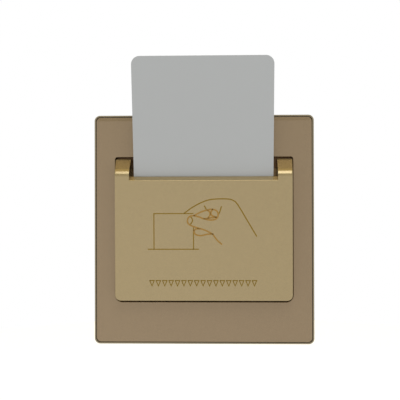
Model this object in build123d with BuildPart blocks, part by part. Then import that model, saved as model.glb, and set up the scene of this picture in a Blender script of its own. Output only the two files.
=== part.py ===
"""A wall switch that keeps a hotel room's power on while a key card stands in its pocket.

Lengths are in millimetres. X runs to the right, Y into the wall and Z up. The origin is on the wall's face,
midway between the two wall box screws. Heights are measured out of the wall, so Y is minus the height, and
what lies inside the wall box has a height below zero.
"""

import os
from math import atan, cos, degrees, radians, sin, tan

from build123d import *

os.makedirs("parts", exist_ok=True)

# General clearances
overrun = 5.0
fit_gap = 0.15
seat_gap = 0.1
running_gap = 0.06
slide_gap = 0.3

# The key card, of the standard bank card size, which leans on the lip and stands near the liner
card_width = 53.98
card_length = 85.6
card_thickness = 0.76
card_corner = 3.18
card_rise = 10.53
lip_gap = 0.46
foot_gap = 0.87

# The plate: an outer frame with a bevelled panel in it
plate_width = 86.0
plate_height = 89.6
plate_corner = 2.2
plate_proud = 9.0
rim_width = 0.55
rim_setback = 0.2
rim_edge = 0.25
groove_width = 0.3
panel_thickness = 2.4
bevel_width = 1.4
bevel_depth = 0.16
deck_thickness = 1.6
skirt_wall = 2.0
panel_width = plate_width - 2 * (rim_width + groove_width)
panel_height = plate_height - 2 * (rim_width + groove_width)
panel_corner = plate_corner - rim_width
rim_top = plate_proud - rim_setback
deck_top = plate_proud - panel_thickness
deck_bottom = deck_top - deck_thickness

# The opening in the plate, whose sides lie between the card's and the plate's
opening_height = 56.8
opening_share = 0.491
opening_corner = 0.9
opening_foot_corner = 2.8
opening_edge = 0.2
deck_margin = 0.3
opening_width = card_width + (plate_width - card_width) * opening_share

# The steel mounting frame, its slots for the wall box screws, which are 60.3 apart, and its housing's window
screw_share = 0.1974
screw_slot_radius = 2.1
screw_slot_length = 7.0
screw_slot_wall = 1.45
screw_head_radius = 4.2
frame_thickness = 1.2
frame_gap = 1.0
frame_corner = 3.0
window_gap = 0.2
screw_spacing = card_width + (plate_width - card_width) * screw_share
frame_width = plate_width - 2 * (skirt_wall + frame_gap)
frame_height = plate_height - 2 * (skirt_wall + frame_gap)
window_width = screw_spacing - screw_slot_length - 2 * screw_slot_wall

# The catches on the mounting frame and the hooks that hold the plate to them
catch_spacing = 40.0
catch_width = 8.0
catch_height = 3.2
catch_thickness = 1.2
catch_inset = 3.4
hook_width = 6.0
hook_thickness = 1.6
catch_z = frame_height / 2 - catch_inset - catch_thickness / 2
hook_z = catch_z - catch_thickness / 2 - seat_gap - hook_thickness / 2

# The module's recess, behind the opening
module_wall = 2.0
module_rim = 2.15
module_corner = 2.0
module_top = deck_bottom - seat_gap
floor_height = frame_thickness + module_wall

# The pocket cover, with its front, its two sloped arms and the notch between them
cover_gap_side = 0.25
cover_gap_end = 0.7
cover_corner = 2.45
cover_top_corner = 0.6
cover_draft = 3.4
cover_foot_reach = 4.5
cover_lean = 2.5
cover_wall = 2.1
cover_side_wall = 2.2
cover_floor_wall = 1.8
cover_edge = 0.3
ramp_angle = 37.5
ramp_setback = 0.2
ramp_round = 3.6
arm_depth = 11.7
lip_drop = 7.1
notch_gap = 1.66
tongue_width = 6.0
tongue_thickness = 1.2
tongue_length = 1.7
tongue_spacing = 36.0
cover_width = opening_width - 2 * cover_gap_side
cover_height = opening_height - 2 * cover_gap_end
cover_end = cover_height / 2
lean_slope = tan(radians(cover_lean))
ramp_slope = tan(radians(ramp_angle))
ramp_top = cover_end - ramp_setback
lip_back = cover_end - lip_drop
arm_floor = ramp_top - arm_depth
tongue_x = cover_width / 2 - cover_side_wall / 2


def cover_front(z):
    """The height of the pocket's front face at this z."""
    return plate_proud + cover_foot_reach + (z + cover_end) * lean_slope


# The card guide, a liner in the recess with rails at the card's edges
guide_seat = 0.8
guide_thickness = 0.9
guide_overlap = 0.25
guide_top_inset = 4.1
guide_bottom_inset = 1.0
rail_thickness = 0.8
rail_clearance = 0.25
rail_reach = 0.8
rail_below = 4.1
rail_above = 6.6
rail_break_gap = 1.3
liner_seat = frame_thickness + guide_seat
liner_height = liner_seat + guide_thickness
notch_half_width = card_width / 2 + notch_gap
guide_half_width = notch_half_width + guide_overlap
guide_top = opening_height / 2 - guide_top_inset
guide_bottom = guide_bottom_inset - opening_height / 2
guide_middle = (guide_top + guide_bottom) / 2
rail_x = card_width / 2 + rail_clearance + rail_thickness / 2

# Where the card's foot is, and how far it leans
lip_back_height = cover_front(lip_back) - cover_wall
card_foot_z = card_rise - opening_height / 2
card_foot_height = liner_height + foot_gap + card_thickness
card_slope = (lip_back_height - lip_gap - card_foot_height) / (lip_back - card_foot_z)
card_tilt = atan(card_slope)


def card_front(z):
    """The height of the card's front face at this z."""
    return card_foot_height + (z - card_foot_z) * card_slope


def card_back(z):
    """The height of the card's back face at this z."""
    return card_front(z) - card_thickness / cos(card_tilt)


# The leaf springs behind the card
leaf_x = 17.0
leaf_width = 4.0
leaf_thickness = 0.3
leaf_foot_rise = 1.9
leaf_foot_length = 8.0
leaf_spring_length = 12.0
leaf_curl_length = 5.0
leaf_curl_drop = 1.4
leaf_bend = 2.0
rivet_head_radius = 1.3
rivet_head_thickness = 0.4
rivet_inset = 2.7

# The rear housing
housing_wall = 1.6
housing_floor = 1.8
housing_corner = 2.5
housing_end_inset = 0.4
housing_width = window_width - 2 * window_gap
housing_height = opening_height - 2 * housing_end_inset
inner_width = housing_width - 2 * housing_wall
inner_height = housing_height - 2 * housing_wall
window_height = housing_height + 2 * window_gap

# The card pusher, its pins and its spring, behind the recess's back wall
pusher_travel = 4.0
pusher_half_width = 7.8
pusher_depth = 5.8
pusher_height = 5.0
pusher_skirt = 0.83
shelf_half_width = 4.6
shelf_thickness = 1.6
shelf_overlap = 1.07
shelf_slot_gap = 0.6
pin_radius = 0.8
pin_x = 5.5
lug_half_width = 8.0
lug_thickness = 1.4
lug_gap = 0.2
stroke_gap = 0.4
spring_wire = 0.45
spring_coil_radius = 2.1
spring_turns = 4
spigot_radius = 1.4
spigot_length = 1.2
arm_reach = 2.4
arm_width = 3.2
arm_thickness = 2.35
mechanism_depth = pusher_depth / 2 + slide_gap - frame_thickness
pusher_front = pusher_depth / 2 - mechanism_depth
shelf_top = card_foot_z - seat_gap
shelf_bottom = shelf_top - shelf_thickness
pusher_bottom = shelf_bottom - pusher_skirt
pusher_top = pusher_bottom + pusher_height
lower_lug_bottom = lug_gap - inner_height / 2
upper_lug_bottom = pusher_top + pusher_travel + stroke_gap
upper_lug_top = upper_lug_bottom + lug_thickness
slot_bottom = shelf_bottom - shelf_slot_gap
slot_top = shelf_top + pusher_travel + shelf_slot_gap

# The microswitch, beside the pusher, with its lever under the pusher's arm
switch_gap = 0.8
switch_width = 12.8
switch_height = 6.5
switch_depth = 5.8
switch_rise = 0.4
switch_edge = 0.4
switch_hole_spacing = 6.5
switch_hole_radius = 1.0
switch_hole_rise = 1.8
hinge_inset = 0.8
hinge_rise = 0.9
barrel_radius = 0.7
barrel_length = 2.8
hinge_pin_radius = 0.35
ear_radius = 0.75
ear_thickness = 0.9
lever_thickness = 0.3
lever_overlap = 1.6
button_radius = 0.8
button_edge = 0.3
button_reach = 3.6
button_depth = 2.6
lead_radius = 0.35
lead_spacing = 3.9
lead_rise = 4.2
switch_screw_head_radius = 1.8
switch_screw_head_thickness = 1.2
switch_screw_bite = 0.8
switch_right = inner_width / 2 - switch_gap
switch_middle = switch_right - switch_width / 2
switch_bottom = switch_rise - inner_height / 2
switch_top = switch_bottom + switch_height
switch_face = switch_depth / 2 - mechanism_depth
switch_back = switch_face - switch_depth
switch_hole_z = switch_bottom + switch_hole_rise
hinge_x = switch_right - hinge_inset
hinge_z = switch_top + hinge_rise
lever_tip_x = pusher_half_width + arm_reach - lever_overlap
button_x = hinge_x - button_reach
button_top = hinge_z - lever_thickness / 2 - seat_gap
foot_z = hinge_z + lever_thickness / 2 + seat_gap
ear_gap = barrel_length / 2 + running_gap
lead_z = switch_bottom + lead_rise
lead_xs = [switch_middle + lead_spacing * n for n in (-1, 0, 1)]

# The circuit board and its pieces, each placed from the board's middle
wiring_room = 2.4
board_thickness = 1.6
board_gap = 0.3
relay_size = (19.0, 15.4, 15.2)
relay_inset = 5.1
relay_drop = 6.4
relay_edge = 0.5
relay_headroom = 0.9
film_gap = 0.5
film_height = 7.5
film_depth = 13.0
film_inset = 5.6
film_drop = 5.35
film_edge = 1.0
can_share = 0.286
can_length = 12.0
can_inset = 4.0
can_edge = 0.6
can_groove = 0.4
bridge_size = (8.0, 6.4, 3.2)
bridge_inset = 1.1
bridge_drop = 1.55
bridge_edge = 0.4
varistor_radius = 4.5
varistor_thickness = 3.6
varistor_inset = 5.6
varistor_edge = 1.2
varistor_leg_radius = 0.4
varistor_leg_length = 1.2
fuse_size = (8.4, 4.0, 8.0)
fuse_edge = 0.8
board_front = switch_back - switch_screw_head_thickness - wiring_room
board_back = board_front - board_thickness
board_width = inner_width - 2 * board_gap
board_height = inner_height - 2 * board_gap
board_side = board_width / 2
board_top = board_height / 2
relay_left = relay_inset - board_side
relay_right = relay_left + relay_size[0]
relay_bottom = board_top - relay_drop - relay_size[1]
relay_place = ((relay_left + relay_right) / 2, relay_bottom + relay_size[1] / 2)
film_left = relay_right + film_gap
film_right = board_side - film_inset
film_bottom = board_top - film_drop - film_height
film_size = (film_right - film_left, film_height, film_depth)
film_place = ((film_left + film_right) / 2, film_bottom + film_height / 2)
bridge_left = board_side - bridge_inset - bridge_size[0]
bridge_bottom = film_bottom - bridge_drop - bridge_size[1]
bridge_place = (bridge_left + bridge_size[0] / 2, bridge_bottom + bridge_size[1] / 2)
housing_inside = board_back - relay_size[2] - relay_headroom
housing_back = housing_inside - housing_floor

# The mains terminals, in a row along the bottom of the board
terminal_count = 4
terminal_wall = 1.8
terminal_side_gap = 3.4
wire_radius = 2.0
wire_funnel_radius = 2.4
wire_hole_radius = 3.0
pillar_roof = 1.2
pillar_floor = 2.2
pillar_length = 9.0
pillar_setback = 2.0
block_roof = 1.4
block_rise = 1.9
block_back_gap = 0.1
terminal_screw_radius = 1.5
terminal_screw_head = 2.4
terminal_screw_head_thickness = 1.9
terminal_well_radius = 2.6
terminal_well_depth = 2.5
driver_hole_radius = 2.4
driver_slot_width = 0.6
driver_slot_depth = 0.7
block_width = inner_width - 2 * terminal_side_gap
terminal_pitch = block_width / terminal_count
terminal_xs = [terminal_pitch * (n - (terminal_count - 1) / 2) for n in range(terminal_count)]
block_bottom = block_rise - inner_height / 2
pillar_bottom = block_bottom + terminal_well_depth
wire_z = pillar_bottom + pillar_floor + wire_radius
pillar_top = wire_z + wire_radius + pillar_roof
block_top = pillar_top + block_roof
block_middle = (block_top + block_bottom) / 2
block_back = housing_inside + block_back_gap
pillar_back = block_back + pillar_setback
pillar_front = pillar_back + pillar_length
pillar_middle = (pillar_back + pillar_front) / 2
pillar_width = terminal_pitch - 2 * terminal_wall
pillar_height = pillar_top - pillar_bottom

# The varistor, the fuse and the smoothing capacitor, in a row midway between the terminals and the relay
lower_row = (block_top + relay_bottom) / 2
can_radius = (relay_bottom - block_top) * can_share
can_left = board_side - can_inset - 2 * can_radius
varistor_right = varistor_inset + 2 * varistor_radius - board_side
can_place = (can_left + can_radius, lower_row)
varistor_place = (varistor_right - varistor_radius, lower_row)
fuse_place = ((varistor_right + can_left) / 2, lower_row)

# The housing's posts with their long screws, its ledges for the board and its snaps
post_radius = 2.4
post_inset = 3.0
post_drop = 4.4
post_clearance = 0.8
post_gap = 0.2
boss_depth = 5.0
ledge_width = 1.4
ledge_height = 8.0
snap_reach = 0.9
snap_width = 8.0
snap_length = 2.4
snap_spacing = 36.0
housing_screw_radius = 1.2
housing_screw_hole = 1.35
housing_screw_head = 2.0
housing_screw_head_hole = 2.1
housing_screw_head_thickness = 1.4
housing_screw_length = 12.5
housing_screw_bite = 4.5
screw_recess_radius = 0.9
screw_recess_depth = 0.8
post_x = inner_width / 2 - post_inset
post_rows = (inner_height / 2 - post_drop, block_top + post_clearance + post_radius)
post_places = [(x, row) for row in post_rows for x in (-post_x, post_x)]
post_front = -boss_depth - post_gap
ledge_x = inner_width / 2 - ledge_width / 2
housing_screw_seat = housing_screw_bite - boss_depth - housing_screw_length


def above_wall(height):
    """The plane parallel to the wall at this height, facing the room."""
    return Plane.XZ.offset(height)


def level(z, height=0):
    """The horizontal plane at this z, facing up, with its origin at this height out of the wall."""
    return Plane(origin=(0, -height, z), x_dir=(1, 0, 0), z_dir=(0, 0, 1))


def side(x=0):
    """The upright plane at this x, on which a point is its height out of the wall and its z."""
    return Plane(origin=(x, 0, 0), x_dir=(0, -1, 0), z_dir=(-1, 0, 0))


def outline(faces):
    """The edges round a patch of faces: those that only one of its faces has."""
    found = [edge for face in faces for edge in face.edges()]
    return [edge for edge in found if sum(edge.is_same(other) for other in found) == 1]


def keep(piece, name):
    """Labels a finished piece and writes it."""
    piece.part.label = name
    export_step(piece.part, f"parts/{name}.step")


# The plate's panel, whose opening has rounder corners at its foot
with BuildSketch() as opening_shape:
    Rectangle(opening_width, opening_height)
    fillet(opening_shape.vertices().group_by(Axis.Y)[0], opening_foot_corner)
    fillet(opening_shape.vertices().group_by(Axis.Y)[-1], opening_corner)
with BuildPart() as face_panel:
    with BuildSketch(above_wall(deck_top)):
        RectangleRounded(panel_width, panel_height, panel_corner)
        add(opening_shape.sketch, mode=Mode.SUBTRACT)
    extrude(amount=panel_thickness)
    panel_front = face_panel.faces().sort_by(Axis.Y)[0]
    chamfer(panel_front.outer_wire().edges(), bevel_width, bevel_depth, reference=panel_front)
    panel_front = face_panel.faces().sort_by(Axis.Y)[0]
    fillet(panel_front.inner_wires()[0].edges(), opening_edge)
keep(face_panel, "face_panel")

# The plate's outer frame, with a deck that carries the panel and hooks that hold it on
with BuildPart() as edge_frame:
    with BuildSketch(above_wall(0)):
        RectangleRounded(plate_width, plate_height, plate_corner)
    extrude(amount=rim_top)
    fillet(edge_frame.faces().sort_by(Axis.Y)[0].edges(), rim_edge)
    with BuildSketch(above_wall(deck_top)):
        RectangleRounded(plate_width - 2 * rim_width, plate_height - 2 * rim_width, plate_corner - rim_width)
    extrude(amount=panel_thickness, mode=Mode.SUBTRACT)
    with BuildSketch(above_wall(0)):
        RectangleRounded(plate_width - 2 * skirt_wall, plate_height - 2 * skirt_wall, frame_corner)
    extrude(amount=deck_bottom, mode=Mode.SUBTRACT)
    with BuildSketch(above_wall(deck_bottom)):
        RectangleRounded(opening_width + 2 * deck_margin, opening_height + 2 * deck_margin, opening_corner)
    extrude(amount=deck_thickness, mode=Mode.SUBTRACT)
    with BuildSketch(above_wall(frame_thickness + seat_gap)):
        with GridLocations(catch_spacing, 2 * hook_z, 2, 2):
            Rectangle(hook_width, hook_thickness)
    extrude(amount=deck_bottom - frame_thickness - seat_gap)
keep(edge_frame, "edge_frame")

# The mounting frame
with BuildPart() as mounting_frame:
    with BuildSketch(above_wall(0)):
        RectangleRounded(frame_width, frame_height, frame_corner)
        RectangleRounded(window_width, window_height, housing_corner, mode=Mode.SUBTRACT)
        with GridLocations(screw_spacing, 0, 2, 1):
            SlotOverall(screw_slot_length, 2 * screw_slot_radius, mode=Mode.SUBTRACT)
    extrude(amount=frame_thickness)
    with BuildSketch(above_wall(frame_thickness)):
        with GridLocations(catch_spacing, 2 * catch_z, 2, 2):
            Rectangle(catch_width, catch_thickness)
    extrude(amount=catch_height)
keep(mounting_frame, "mounting_frame")

# The module: the recess, with the mechanism's lugs, the switch's pad and the screw bosses behind it
with BuildPart() as module_body:
    with BuildSketch(above_wall(frame_thickness)):
        RectangleRounded(opening_width + 2 * module_rim, opening_height + 2 * module_rim, module_corner)
    extrude(amount=module_top - frame_thickness)
    with BuildSketch(above_wall(floor_height)):
        RectangleRounded(opening_width, opening_height, opening_corner)
    extrude(amount=module_top - floor_height, mode=Mode.SUBTRACT)
    with BuildSketch(above_wall(liner_seat)):
        with Locations((0, guide_middle)):
            Rectangle(2 * guide_half_width, guide_top - guide_bottom)
    extrude(amount=floor_height - liner_seat, mode=Mode.SUBTRACT)
    with BuildSketch(above_wall(frame_thickness)):
        with GridLocations(screw_spacing, 0, 2, 1):
            Circle(screw_head_radius)
        with Locations((0, (slot_top + slot_bottom) / 2)):
            Rectangle(2 * (shelf_half_width + shelf_slot_gap), slot_top - slot_bottom)
        with GridLocations(2 * tongue_x, tongue_spacing, 2, 2):
            Rectangle(tongue_thickness + 2 * fit_gap, tongue_width + 2 * fit_gap)
    extrude(amount=module_wall, mode=Mode.SUBTRACT)
    with BuildSketch(above_wall(frame_thickness)):
        with Locations(*post_places):
            Circle(post_radius)
    extrude(amount=-(frame_thickness + boss_depth))
    with BuildSketch(above_wall(-boss_depth)):
        with Locations(*post_places):
            Circle(housing_screw_radius)
    extrude(amount=housing_screw_bite, mode=Mode.SUBTRACT)
    with BuildSketch(above_wall(frame_thickness)):
        for lug_bottom in (lower_lug_bottom, upper_lug_bottom):
            with Locations((0, lug_bottom + lug_thickness / 2)):
                Rectangle(2 * lug_half_width, lug_thickness)
    extrude(amount=-(frame_thickness + mechanism_depth + pusher_depth / 2))
    with BuildSketch(level(lower_lug_bottom, -mechanism_depth)):
        with GridLocations(2 * pin_x, 0, 2, 1):
            Circle(pin_radius)
    extrude(amount=upper_lug_top - lower_lug_bottom, mode=Mode.SUBTRACT)
    with BuildSketch(level(lower_lug_bottom + lug_thickness, -mechanism_depth)):
        Circle(spigot_radius)
    extrude(amount=spigot_length)
    with BuildSketch(above_wall(frame_thickness)):
        with Locations((switch_middle, switch_bottom + switch_height / 2)):
            Rectangle(switch_width, switch_height)
    extrude(amount=switch_face - frame_thickness)
    with BuildSketch(above_wall(switch_face)):
        with Locations((switch_middle, switch_hole_z)):
            with GridLocations(switch_hole_spacing, 0, 2, 1):
                Circle(switch_hole_radius)
    extrude(amount=switch_screw_bite, mode=Mode.SUBTRACT)
keep(module_body, "module_body")

# The card guide
rail_low = card_foot_z - rail_below
rail_high = lip_back - rail_above
rail_break = screw_head_radius + rail_break_gap
with BuildPart() as card_guide:
    with BuildSketch(above_wall(liner_seat)):
        with Locations((0, guide_middle)):
            Rectangle(2 * (guide_half_width - fit_gap), guide_top - guide_bottom - 2 * fit_gap)
    extrude(amount=guide_thickness)
    for low, high in ((rail_low, -rail_break), (rail_break, rail_high)):
        for middle in (-rail_x, rail_x):
            with BuildSketch(side(middle)):
                with BuildLine():
                    Polyline(
                        (liner_seat, low),
                        (card_front(low) + rail_reach, low),
                        (card_front(high) + rail_reach, high),
                        (liner_seat, high),
                        close=True,
                    )
                make_face()
            extrude(amount=rail_thickness / 2, both=True)
    with BuildSketch(above_wall(liner_seat)):
        with GridLocations(screw_spacing, 0, 2, 1):
            Circle(screw_head_radius)
        with Locations((0, (slot_top + slot_bottom) / 2)):
            Rectangle(2 * (shelf_half_width + shelf_slot_gap), slot_top - slot_bottom)
    extrude(amount=guide_thickness, mode=Mode.SUBTRACT)
keep(card_guide, "card_guide")

# The leaf springs, riveted to the guide, whose crests lie just behind the card
leaf_foot_bottom = card_foot_z + leaf_foot_rise
leaf_foot_top = leaf_foot_bottom + leaf_foot_length
leaf_crest_z = leaf_foot_top + leaf_spring_length
leaf_base = liner_height + leaf_thickness / 2
leaf_crest = card_back(leaf_crest_z) - fit_gap - leaf_thickness / 2
with BuildPart() as card_springs:
    for middle in (-leaf_x, leaf_x):
        with BuildSketch(side(middle)):
            with BuildLine():
                FilletPolyline(
                    (leaf_base, leaf_foot_bottom),
                    (leaf_base, leaf_foot_top),
                    (leaf_crest, leaf_crest_z),
                    (leaf_crest - leaf_curl_drop, leaf_crest_z + leaf_curl_length),
                    radius=leaf_bend,
                )
            trace(line_width=leaf_thickness)
        extrude(amount=leaf_width / 2, both=True)
        with BuildSketch(above_wall(liner_height + leaf_thickness)):
            with Locations((middle, leaf_foot_bottom + rivet_inset)):
                Circle(rivet_head_radius)
        extrude(amount=rivet_head_thickness)
keep(card_springs, "card_springs")

# The pocket cover. Its front and its ramps are planes that meet at this height and z before they are rounded
front_height = cover_front(0)
corner_height = (front_height + (ramp_top + plate_proud * ramp_slope) * lean_slope) / (1 + ramp_slope * lean_slope)
corner_z = ramp_top - (corner_height - plate_proud) * ramp_slope
ramp_end_height = plate_proud - ramp_setback / ramp_slope
cavity_half_width = cover_width / 2 - cover_side_wall
cavity_bottom = cover_floor_wall - cover_end
cavity_foot_height = cover_front(cavity_bottom) - cover_wall
beyond_front = corner_height + overrun
with BuildSketch() as cover_footprint:
    Rectangle(cover_width, cover_height)
    fillet(cover_footprint.vertices().group_by(Axis.Y)[0], cover_corner)
    fillet(cover_footprint.vertices().group_by(Axis.Y)[-1], cover_top_corner)
with BuildPart() as pocket_cover:
    with BuildSketch(above_wall(floor_height)):
        add(cover_footprint.sketch)
    extrude(amount=plate_proud - floor_height)
    with BuildSketch(above_wall(plate_proud)):
        add(cover_footprint.sketch)
    extrude(amount=beyond_front - plate_proud, taper=cover_draft)
    with BuildSketch(side()) as cover_profile:
        with BuildLine():
            Polyline(
                (floor_height, -cover_end),
                (cover_front(-cover_end), -cover_end),
                (corner_height, corner_z),
                (ramp_end_height, cover_end),
                (floor_height, cover_end),
                close=True,
            )
        make_face()
        fillet(cover_profile.vertices().group_by(Axis.X)[-1], ramp_round)
    extrude(amount=cover_width, both=True, mode=Mode.INTERSECT)
    room_side = pocket_cover.faces().filter_by(lambda face: face.normal_at().Y < -sin(radians(ramp_angle)) / 2)
    rim = [edge for edge in outline(room_side) if edge.center().Y < -plate_proud - cover_corner]
    fillet(rim, cover_edge)
    with BuildSketch(side()):
        with BuildLine():
            Polyline(
                (floor_height, cavity_bottom),
                (cavity_foot_height, cavity_bottom),
                (cover_front(arm_floor) - cover_wall, arm_floor),
                (floor_height, arm_floor),
                close=True,
            )
        make_face()
    extrude(amount=cavity_half_width, both=True, mode=Mode.SUBTRACT)
    with BuildSketch(side()):
        with BuildLine():
            Polyline(
                (floor_height, cavity_bottom),
                (cavity_foot_height, cavity_bottom),
                (lip_back_height, lip_back),
                (beyond_front, lip_back - (beyond_front - lip_back_height) * ramp_slope),
                (beyond_front, cover_end + overrun),
                (floor_height, cover_end + overrun),
                close=True,
            )
        make_face()
    extrude(amount=notch_half_width, both=True, mode=Mode.SUBTRACT)
    notch_edges = pocket_cover.edges().filter_by(Axis.X).filter_by_position(Axis.Z, arm_floor, cover_end)
    fillet(notch_edges.filter_by_position(Axis.X, -cover_edge, cover_edge).sort_by(Axis.Y)[0], cover_edge)
    with BuildSketch(above_wall(floor_height)):
        with GridLocations(2 * tongue_x, tongue_spacing, 2, 2):
            Rectangle(tongue_thickness, tongue_width)
    extrude(amount=-tongue_length)
keep(pocket_cover, "pocket_cover")

# The key card, drawn in its own leaning plane
card_plane = Plane(
    origin=(0, -card_foot_height, card_foot_z),
    x_dir=(1, 0, 0),
    z_dir=(0, -cos(card_tilt), -sin(card_tilt)),
)
with BuildPart() as key_card:
    with BuildSketch(card_plane):
        with Locations((0, card_length / 2)):
            RectangleRounded(card_width, card_length, card_corner)
    extrude(amount=-card_thickness)
keep(key_card, "key_card")

# The pusher: a slider on two pins, whose shelf is under the card and whose arm is over the lever
with BuildPart() as card_pusher:
    with BuildSketch(above_wall(pusher_front)):
        with Locations((0, pusher_bottom + pusher_height / 2)):
            Rectangle(2 * pusher_half_width, pusher_height)
    extrude(amount=-pusher_depth)
    with BuildSketch(above_wall(pusher_front)):
        with Locations((0, (shelf_top + shelf_bottom) / 2)):
            Rectangle(2 * shelf_half_width, shelf_thickness)
    extrude(amount=card_foot_height + shelf_overlap - pusher_front)
    with BuildSketch(above_wall(-mechanism_depth)):
        with Locations((pusher_half_width + arm_reach / 2, foot_z + arm_thickness / 2)):
            Rectangle(arm_reach, arm_thickness)
    extrude(amount=arm_width / 2, both=True)
    with BuildSketch(level(pusher_bottom, -mechanism_depth)):
        with GridLocations(2 * pin_x, 0, 2, 1):
            Circle(pin_radius + running_gap)
    extrude(amount=pusher_height, mode=Mode.SUBTRACT)
    with BuildSketch(level(pusher_bottom, -mechanism_depth)):
        Circle(spigot_radius)
    extrude(amount=-spigot_length)
keep(card_pusher, "card_pusher")

with BuildPart() as guide_pins:
    with BuildSketch(level(lower_lug_bottom, -mechanism_depth)):
        with GridLocations(2 * pin_x, 0, 2, 1):
            Circle(pin_radius)
    extrude(amount=upper_lug_top - lower_lug_bottom)
keep(guide_pins, "guide_pins")

# The return spring, one helix between the lower lug and the pusher
spring_bottom = lower_lug_bottom + lug_thickness + spring_wire / 2
spring_height = pusher_bottom - seat_gap - spring_wire / 2 - spring_bottom
spring_pitch = spring_height / spring_turns
with BuildPart() as return_spring:
    with BuildLine():
        middle = (0, mechanism_depth, spring_bottom)
        coil = Helix(spring_pitch, spring_height, spring_coil_radius, center=middle)
    with BuildSketch(Plane(origin=coil @ 0, z_dir=coil % 0)):
        Circle(spring_wire / 2)
    sweep()
keep(return_spring, "return_spring")

# The microswitch: its case, its lever on a pin, its button and its leads
with BuildPart() as microswitch_case:
    with BuildSketch(above_wall(switch_face)):
        with Locations((switch_middle, switch_bottom + switch_height / 2)):
            Rectangle(switch_width, switch_height)
    extrude(amount=-switch_depth)
    chamfer(microswitch_case.edges().filter_by(Axis.Y), switch_edge)
    for near in (ear_gap + ear_thickness, -ear_gap):
        with BuildSketch(above_wall(near - mechanism_depth)):
            with Locations((hinge_x, hinge_z)):
                Circle(ear_radius)
            with Locations((hinge_x, (switch_top - switch_edge + hinge_z) / 2)):
                Rectangle(2 * ear_radius, hinge_z - switch_top + switch_edge)
        extrude(amount=-ear_thickness)
    with BuildSketch(above_wall(-mechanism_depth)):
        with Locations((hinge_x, hinge_z)):
            Circle(hinge_pin_radius)
    extrude(amount=ear_gap + ear_thickness, both=True, mode=Mode.SUBTRACT)
    with BuildSketch(above_wall(switch_face)):
        with Locations((switch_middle, switch_hole_z)):
            with GridLocations(switch_hole_spacing, 0, 2, 1):
                Circle(switch_hole_radius)
    extrude(amount=-switch_depth, mode=Mode.SUBTRACT)
    with BuildSketch(level(switch_top, -mechanism_depth)):
        with Locations((button_x, 0)):
            Circle(button_radius + running_gap)
    extrude(amount=-button_depth, mode=Mode.SUBTRACT)
    with BuildSketch(above_wall(switch_back)):
        with Locations(*[(x, lead_z) for x in lead_xs]):
            Circle(lead_radius)
    extrude(amount=switch_edge, mode=Mode.SUBTRACT)
keep(microswitch_case, "microswitch_case")

with BuildPart() as microswitch_lever:
    with BuildSketch(above_wall(-mechanism_depth)):
        with Locations((hinge_x, hinge_z)):
            Circle(barrel_radius)
        with Locations(((hinge_x + lever_tip_x) / 2, hinge_z)):
            Rectangle(hinge_x - lever_tip_x, lever_thickness)
        with Locations((hinge_x, hinge_z)):
            Circle(hinge_pin_radius + running_gap, mode=Mode.SUBTRACT)
    extrude(amount=barrel_length / 2, both=True)
keep(microswitch_lever, "microswitch_lever")

with BuildPart() as lever_pin:
    with BuildSketch(above_wall(-mechanism_depth)):
        with Locations((hinge_x, hinge_z)):
            Circle(hinge_pin_radius)
    extrude(amount=ear_gap + ear_thickness, both=True)
keep(lever_pin, "lever_pin")

with BuildPart() as microswitch_button:
    with BuildSketch(level(button_top, -mechanism_depth)):
        with Locations((button_x, 0)):
            Circle(button_radius)
    extrude(amount=switch_top - button_depth + slide_gap - button_top)
    fillet(microswitch_button.faces().sort_by(Axis.Z)[-1].edges(), button_edge)
keep(microswitch_button, "microswitch_button")

with BuildPart() as microswitch_leads:
    with BuildSketch(above_wall(switch_back + switch_edge)):
        with Locations(*[(x, lead_z) for x in lead_xs]):
            Circle(lead_radius)
    extrude(amount=board_back - switch_back - switch_edge)
keep(microswitch_leads, "microswitch_leads")

with BuildPart() as microswitch_screws:
    with BuildSketch(above_wall(switch_back)):
        with Locations((switch_middle, switch_hole_z)):
            with GridLocations(switch_hole_spacing, 0, 2, 1):
                Circle(switch_hole_radius)
    extrude(amount=switch_depth + switch_screw_bite)
    with BuildSketch(above_wall(switch_back)):
        with Locations((switch_middle, switch_hole_z)):
            with GridLocations(switch_hole_spacing, 0, 2, 1):
                Circle(switch_screw_head_radius)
    extrude(amount=-switch_screw_head_thickness)
keep(microswitch_screws, "microswitch_screws")

# The circuit board, notched round the screw posts
notch_x = (post_x + inner_width / 2) / 2
with BuildPart() as circuit_board:
    with BuildSketch(above_wall(board_front)):
        Rectangle(board_width, board_height)
        with Locations(*post_places):
            Circle(post_radius + board_gap, mode=Mode.SUBTRACT)
        with Locations(*[(x, row) for row in post_rows for x in (-notch_x, notch_x)]):
            Rectangle(inner_width / 2 - post_x, 2 * (post_radius + board_gap), mode=Mode.SUBTRACT)
        with Locations(*[(x, lead_z) for x in lead_xs]):
            Circle(lead_radius, mode=Mode.SUBTRACT)
    extrude(amount=-board_thickness)
keep(circuit_board, "circuit_board")


def block_on_board(size, place, edge, name):
    """A box of this width, height and depth on the back of the board, with rounded edges."""
    width, height, depth = size
    with BuildPart() as block:
        with BuildSketch(above_wall(board_back)):
            with Locations(place):
                Rectangle(width, height)
        extrude(amount=-depth)
        fillet(block.edges().filter_by(Axis.Y), edge)
        chamfer(block.faces().sort_by(Axis.Y)[-1].edges(), edge / 2)
    keep(block, name)


block_on_board(relay_size, relay_place, relay_edge, "relay")
block_on_board(film_size, film_place, film_edge, "film_capacitor")
block_on_board(bridge_size, bridge_place, bridge_edge, "bridge_rectifier")
block_on_board(fuse_size, fuse_place, fuse_edge, "fuse")

with BuildPart() as smoothing_capacitor:
    with BuildSketch(above_wall(board_back)):
        with Locations(can_place):
            Circle(can_radius)
    extrude(amount=-can_length)
    chamfer(smoothing_capacitor.faces().sort_by(Axis.Y)[-1].edges(), can_edge)
    with BuildSketch(above_wall(board_back - can_length)):
        with Locations(can_place):
            Rectangle(can_radius, can_groove)
            Rectangle(can_groove, can_radius)
    extrude(amount=can_groove, mode=Mode.SUBTRACT)
keep(smoothing_capacitor, "smoothing_capacitor")

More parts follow.
